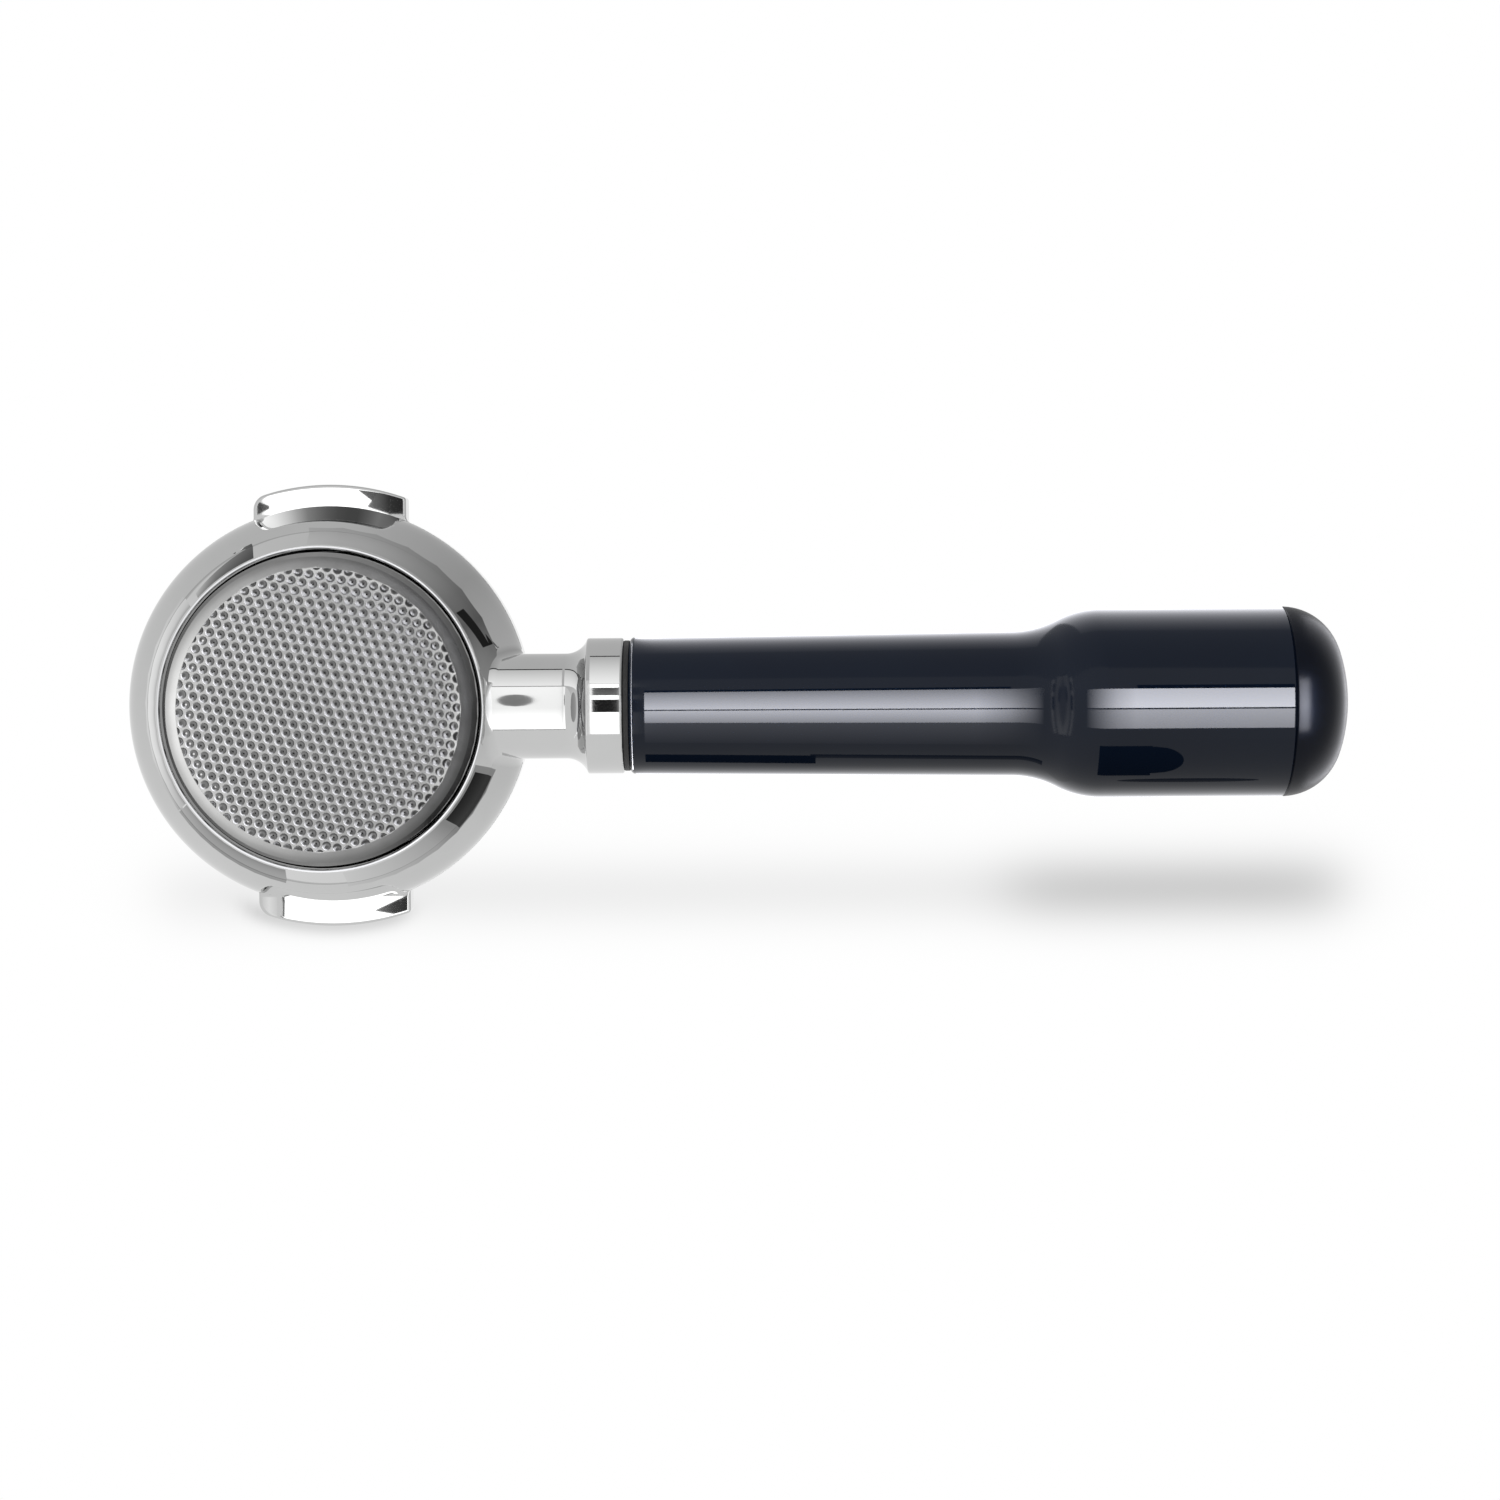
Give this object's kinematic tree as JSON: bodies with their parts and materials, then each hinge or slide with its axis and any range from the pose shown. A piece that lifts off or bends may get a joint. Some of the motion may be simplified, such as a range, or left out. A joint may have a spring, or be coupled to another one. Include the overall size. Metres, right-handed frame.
{
  "type": "portafilter",
  "caption": "Bottomless portafilter: chromed ring with bayonet lugs, lift-out perforated basket, round neck and a stepped moulded handle with a domed end cap.",
  "frame": {"origin": "on the ring's axis, in the plane of the ring's rim, on which the basket's flange lies", "axes": "+Z along the ring's axis towards the group, which is the way the basket opens and lifts out; +X along the handle, away from the ring"},
  "size_m": [0.2321, 0.085, 0.0361],
  "materials": {
    "chromed_casting": "polished chrome plate on cast brass",
    "basket_steel": "bright pressed stainless steel",
    "spring_steel": "drawn stainless wire",
    "joint_rubber": "matte",
    "grip_gloss": "glossy moulding",
    "bush_brass": "turned",
    "rod_steel": "zinc-plated",
    "cap_satin": "satin moulding"
  },
  "bodies": {
    "holder": {"body_casting": "chromed_casting", "basket_spring": "spring_steel", "joint_washer": "joint_rubber", "handle_grip": "grip_gloss", "handle_bush": "bush_brass", "tie_rod": "rod_steel", "flat_washer": "rod_steel", "lock_washer": "rod_steel", "tie_rod_nut": "rod_steel", "end_cap": "cap_satin"},
    "basket": {"filter_basket": "basket_steel"}
  },
  "joints": [
    {"name": "basket_lift", "type": "slide", "parent": "holder", "child": "basket", "axis": [0, 0, 1], "range_m": [0, 0.04]}
  ]
}
